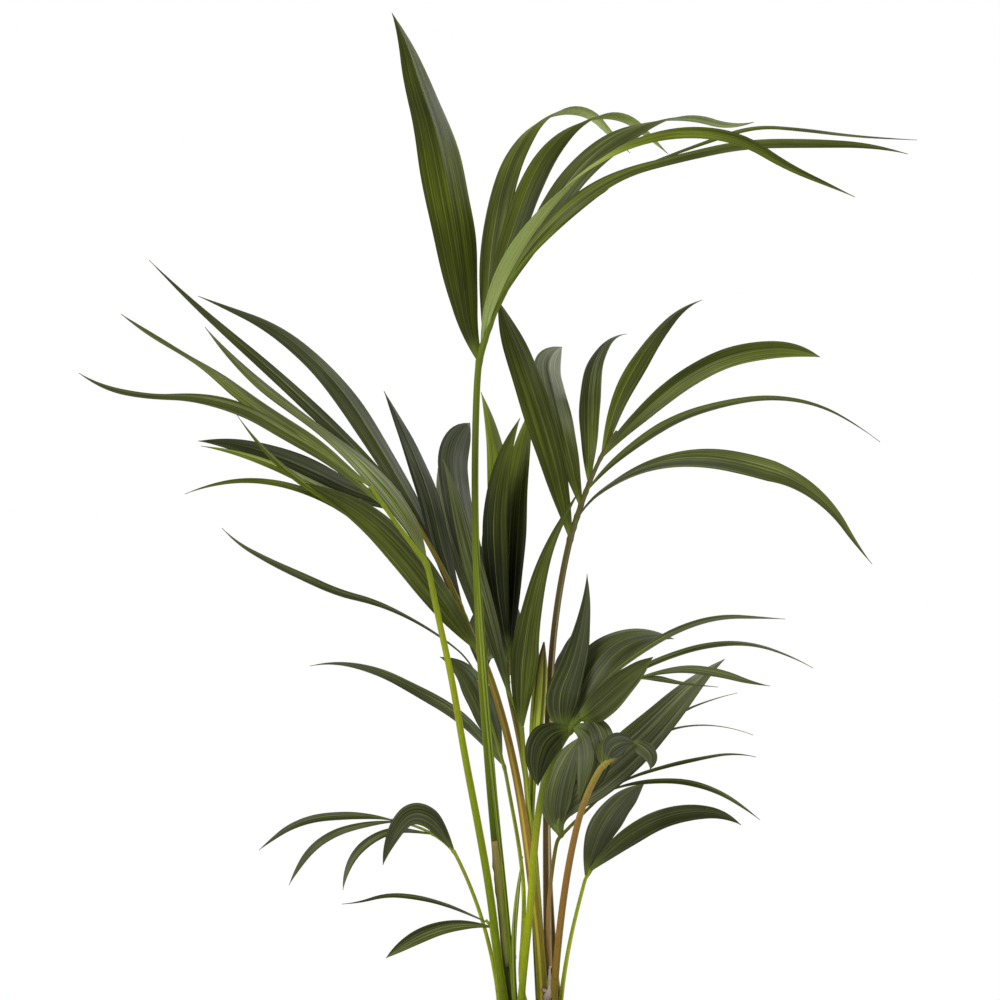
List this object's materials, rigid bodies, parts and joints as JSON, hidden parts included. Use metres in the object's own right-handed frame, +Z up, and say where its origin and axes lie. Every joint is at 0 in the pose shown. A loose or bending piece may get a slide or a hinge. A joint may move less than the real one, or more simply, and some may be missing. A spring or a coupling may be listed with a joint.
{
  "type": "potted kentia palm",
  "caption": "Young kentia palm of slender arching fronds on long bare petioles, rising from short clustered stems in a plain round pot.",
  "frame": {"origin": "centre of the pot's flat underside, where it stands on the floor", "axes": "+Z up through the pot and the crown, -Y towards the front of the plant as it was pictured, +X to the viewer's right"},
  "size_m": [0.8327, 0.552, 1.1893],
  "materials": {
    "pot": "matt dark grey moulded plastic",
    "compost": "rough, dark and crumbly",
    "stem": "dry ringed stem base",
    "petiole_green": "smooth satin",
    "petiole_olive": "smooth satin",
    "petiole_brown": "smooth satin",
    "petiole_orange": "smooth satin",
    "leaf": "soft satin, dark green above and paler below",
    "new_leaf": "smooth satin"
  },
  "bodies": {
    "root": {"pot": "pot", "soil": "compost", "stem_left": "stem", "stem_middle": "stem", "stem_right": "stem", "petiole_top": "petiole_green", "frond_top": "leaf", "petiole_left": "petiole_green", "frond_left": "leaf", "petiole_left_back": "petiole_olive", "frond_left_back": "leaf", "petiole_right": "petiole_brown", "frond_right": "leaf", "petiole_centre": "petiole_green", "frond_centre": "leaf", "petiole_back": "petiole_olive", "frond_back": "leaf", "petiole_front": "petiole_green", "frond_front": "leaf", "petiole_front_right": "petiole_orange", "frond_front_right": "leaf", "petiole_middle_right": "petiole_brown", "frond_middle_right": "leaf", "petiole_low_right": "petiole_green", "frond_low_right": "leaf", "petiole_low_left": "petiole_green", "frond_low_left": "leaf", "petiole_lowest_left": "petiole_green", "frond_lowest_left": "leaf", "petiole_far_left": "petiole_green", "frond_far_left": "leaf", "petiole_rear_right": "petiole_brown", "frond_rear_right": "leaf", "petiole_rear_left": "petiole_olive", "frond_rear_left": "leaf", "spear_right": "new_leaf", "spear_left": "new_leaf", "leaf_base": "new_leaf"}
  },
  "joints": []
}
